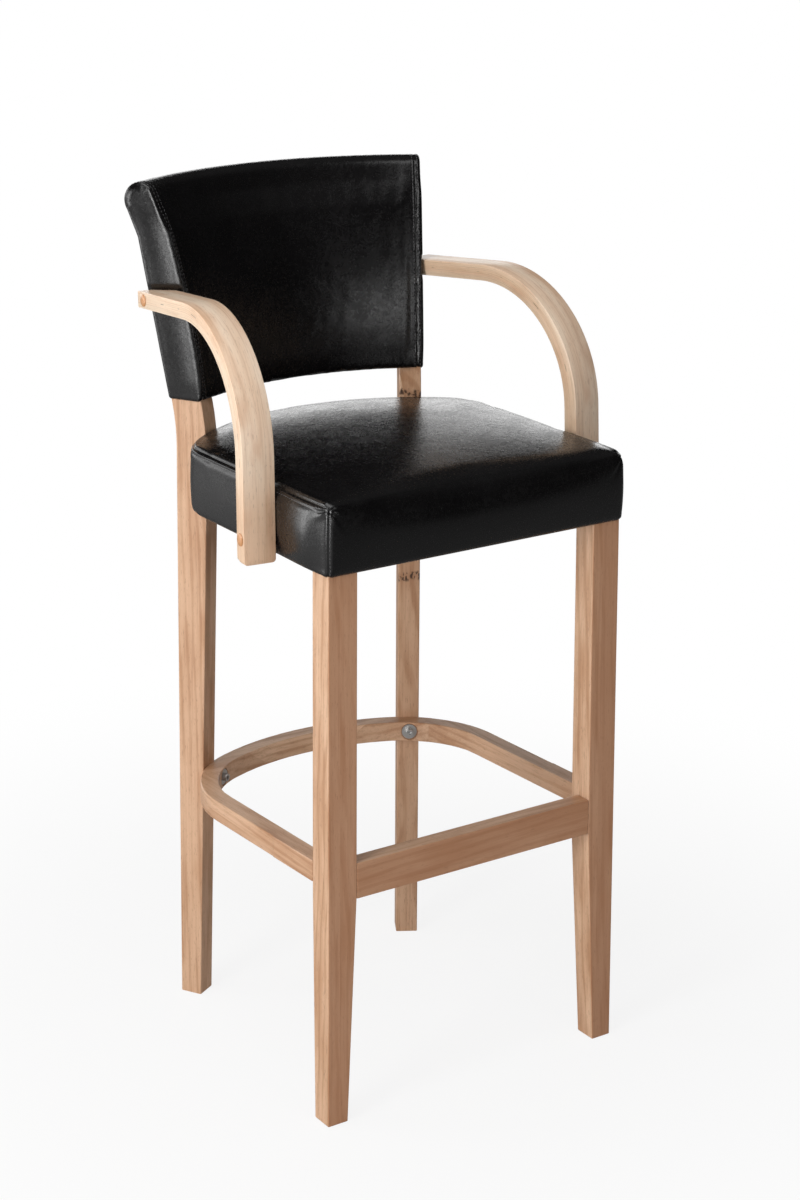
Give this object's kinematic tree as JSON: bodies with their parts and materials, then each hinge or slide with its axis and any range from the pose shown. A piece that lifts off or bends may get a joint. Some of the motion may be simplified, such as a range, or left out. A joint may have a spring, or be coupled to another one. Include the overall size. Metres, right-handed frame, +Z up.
{
  "type": "bar stool with arms",
  "caption": "Wooden bar stool with a padded seat, a curved padded backrest with a rolled top, bent plywood arms and a curved footrest.",
  "frame": {"origin": "on the floor, under the middle of the stool's bounding box", "axes": "+Z up, +Y from the front of the seat towards the backrest, +X to the right of someone who looks at the front of the stool"},
  "size_m": [0.5476, 0.5495, 1.114],
  "materials": {
    "rubberwood": "satin clear coat",
    "bent_plywood": "satin clear coat, bare laminated edges",
    "plug_wood": "satin",
    "hidden_wood": "raw",
    "plywood_board": "raw",
    "dowel_wood": "raw",
    "zinc_steel": "bright zinc plate",
    "black_faux_leather": "semi-gloss, finely creased",
    "foam": "open cell",
    "dust_cloth": "matt non-woven"
  },
  "bodies": {
    "root": {"arm_left": "bent_plywood", "arm_plug_front_left": "plug_wood", "arm_plug_front_right": "plug_wood", "arm_plug_rear_left": "plug_wood", "arm_plug_rear_right": "plug_wood", "arm_right": "bent_plywood", "arm_screw_front_left": "zinc_steel", "arm_screw_front_right": "zinc_steel", "arm_screw_rear_left": "zinc_steel", "arm_screw_rear_right": "zinc_steel", "backrest_cover": "black_faux_leather", "backrest_foam": "foam", "backrest_front_panel": "plywood_board", "backrest_lower_rail": "hidden_wood", "backrest_rail_dowel_left": "dowel_wood", "backrest_rail_dowel_right": "dowel_wood", "backrest_rear_panel": "plywood_board", "backrest_top_dowel_left": "dowel_wood", "backrest_top_dowel_right": "dowel_wood", "backrest_top_rail": "hidden_wood", "corner_block_left": "hidden_wood", "corner_block_right": "hidden_wood", "footrest_arm_left": "rubberwood", "footrest_arm_right": "rubberwood", "footrest_bend_left": "rubberwood", "footrest_bend_right": "rubberwood", "footrest_bolt_left": "zinc_steel", "footrest_bolt_right": "zinc_steel", "footrest_dowel_left": "dowel_wood", "footrest_dowel_right": "dowel_wood", "footrest_insert_left": "zinc_steel", "footrest_insert_right": "zinc_steel", "footrest_rear": "rubberwood", "footrest_washer_left": "zinc_steel", "footrest_washer_right": "zinc_steel", "front_leg_left": "rubberwood", "front_leg_right": "rubberwood", "front_stretcher": "rubberwood", "leg_bolt_left": "zinc_steel", "leg_bolt_right": "zinc_steel", "rear_post_left": "rubberwood", "rear_post_right": "rubberwood", "seat_board": "plywood_board", "seat_bolt_left": "zinc_steel", "seat_bolt_right": "zinc_steel", "seat_cover": "black_faux_leather", "seat_dust_cover": "dust_cloth", "seat_foam": "foam", "seat_front_rail": "hidden_wood", "seat_insert_left": "zinc_steel", "seat_insert_right": "zinc_steel", "seat_rear_rail": "hidden_wood", "seat_side_rail_left": "hidden_wood", "seat_side_rail_right": "hidden_wood", "seat_washer_left": "zinc_steel", "seat_washer_right": "zinc_steel", "stretcher_dowel_left_lower": "dowel_wood", "stretcher_dowel_left_upper": "dowel_wood", "stretcher_dowel_right_lower": "dowel_wood", "stretcher_dowel_right_upper": "dowel_wood"}
  },
  "joints": []
}
